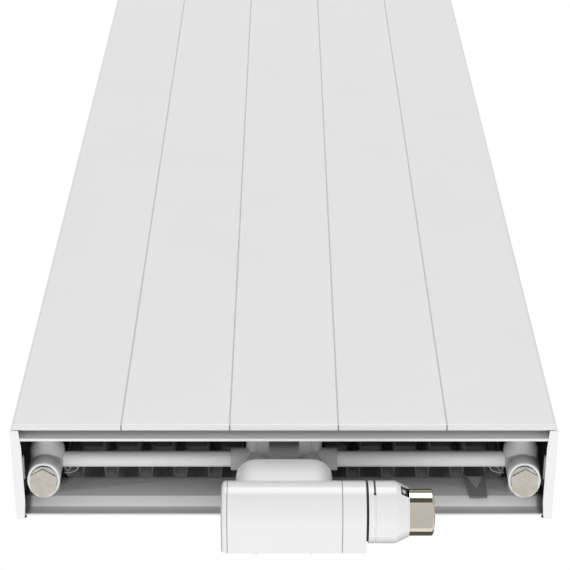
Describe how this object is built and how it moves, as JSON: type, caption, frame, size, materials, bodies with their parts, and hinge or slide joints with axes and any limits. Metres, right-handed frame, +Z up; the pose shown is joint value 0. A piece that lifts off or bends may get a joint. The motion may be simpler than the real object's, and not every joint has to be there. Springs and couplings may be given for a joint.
{
  "type": "vertical panel radiator",
  "caption": "Vertical steel panel radiator with a flat grooved front, side panels, convector fins, a twin pipe valve under a white cover and a thermostatic head, on wall brackets.",
  "frame": {"origin": "centre of the four wall screws, on the wall plane", "axes": "+X to the right seen from the room, +Y into the wall, +Z up"},
  "size_m": [0.5054, 0.1298, 1.8852],
  "materials": {
    "powder_white": "satin powder coat, white",
    "white_plastic": "smooth white plastic",
    "nickel": "satin nickel plate",
    "brass": "machined brass",
    "zinc_steel": "zinc plated steel",
    "black_plastic": "fine matte black plastic",
    "rubber": "matte rubber"
  },
  "bodies": {
    "root": {"front_panel": "powder_white", "bonding_strips": "rubber", "front_heater_outer_sheet": "powder_white", "front_heater_inner_sheet": "powder_white", "rear_heater_inner_sheet": "powder_white", "rear_heater_outer_sheet": "powder_white", "front_convector": "powder_white", "rear_convector": "powder_white", "tee_bottom_left": "powder_white", "tee_bottom_right": "powder_white", "tee_top_left": "powder_white", "tee_top_right": "powder_white", "plug_bottom_left": "nickel", "plug_bottom_right": "nickel", "plug_top_left": "nickel", "plug_seals": "rubber", "vent_body": "nickel", "centre_tee_supply": "powder_white", "centre_tee_return": "powder_white", "centre_spacer_bar": "powder_white", "feed_tube_supply": "powder_white", "feed_tube_return": "powder_white", "catch_bracket": "powder_white", "side_panel_left": "powder_white", "side_panel_right": "powder_white", "side_clips": "zinc_steel", "hanging_lugs": "powder_white", "wall_brackets_upper": "zinc_steel", "wall_brackets_lower": "zinc_steel", "bracket_pads": "white_plastic", "valve_body": "brass", "tailpieces": "nickel", "tail_seals": "rubber", "union_nut_supply": "nickel", "union_nut_return": "nickel", "insert_body": "brass", "valve_spring": "zinc_steel", "pipe_nut_supply": "nickel", "pipe_nut_return": "nickel", "pipe_olives": "brass", "cover_hood": "white_plastic", "head_nut": "nickel", "head_base": "black_plastic", "scale_drum": "black_plastic", "scale_numerals": "white_plastic"},
    "cover": {"cover_shell": "white_plastic", "cover_end_cap": "white_plastic", "cover_adapter": "white_plastic"},
    "head": {"grip_sleeve": "white_plastic", "limiter_band": "black_plastic", "head_end_cap": "nickel"},
    "stem": {"valve_stem": "zinc_steel", "push_rod": "zinc_steel", "sensor_capsule": "zinc_steel"},
    "shutoff_left": {"shutoff_supply": "brass"},
    "shutoff_right": {"shutoff_return": "brass"},
    "vent_spindle": {"vent_screw": "brass"},
    "vent_ring": {"vent_outlet_ring": "white_plastic"},
    "grille": {"top_grille": "powder_white"}
  },
  "joints": [
    {"name": "head_turn", "type": "hinge", "parent": "root", "child": "head", "pos_m": [0.09, -0.0721, -0.9557], "axis": [1, 0, 0], "range_deg": [0, 270]},
    {"name": "valve_stem_slide", "type": "slide", "parent": "root", "child": "stem", "axis": [1, 0, 0], "range_m": [0, 0.0022], "deforming": ["valve_spring"]},
    {"name": "shutoff_supply_turn", "type": "hinge", "parent": "root", "child": "shutoff_left", "pos_m": [-0.025, -0.09, -0.9557], "axis": [0, -1, 0], "range_deg": [0, 90]},
    {"name": "shutoff_return_turn", "type": "hinge", "parent": "root", "child": "shutoff_right", "pos_m": [0.025, -0.09, -0.9557], "axis": [0, -1, 0], "range_deg": [0, 90]},
    {"name": "vent_screw_turn", "type": "hinge", "parent": "root", "child": "vent_spindle", "pos_m": [0.224, -0.0721, 0.892], "axis": [0, 0, 1], "range_deg": [0, 360]},
    {"name": "vent_ring_turn", "type": "hinge", "parent": "root", "child": "vent_ring", "pos_m": [0.224, -0.0721, 0.892], "axis": [0, 0, 1], "continuous": true},
    {"name": "cover_pull", "type": "slide", "parent": "root", "child": "cover", "axis": [0, -1, 0], "range_m": [0, 0.08]},
    {"name": "grille_lift", "type": "slide", "parent": "root", "child": "grille", "axis": [0, 0, 1], "range_m": [0, 0.04]}
  ],
  "couplings": [
    {"joint": "valve_stem_slide", "follows": "head_turn", "m_per_rad": 0.000466}
  ]
}
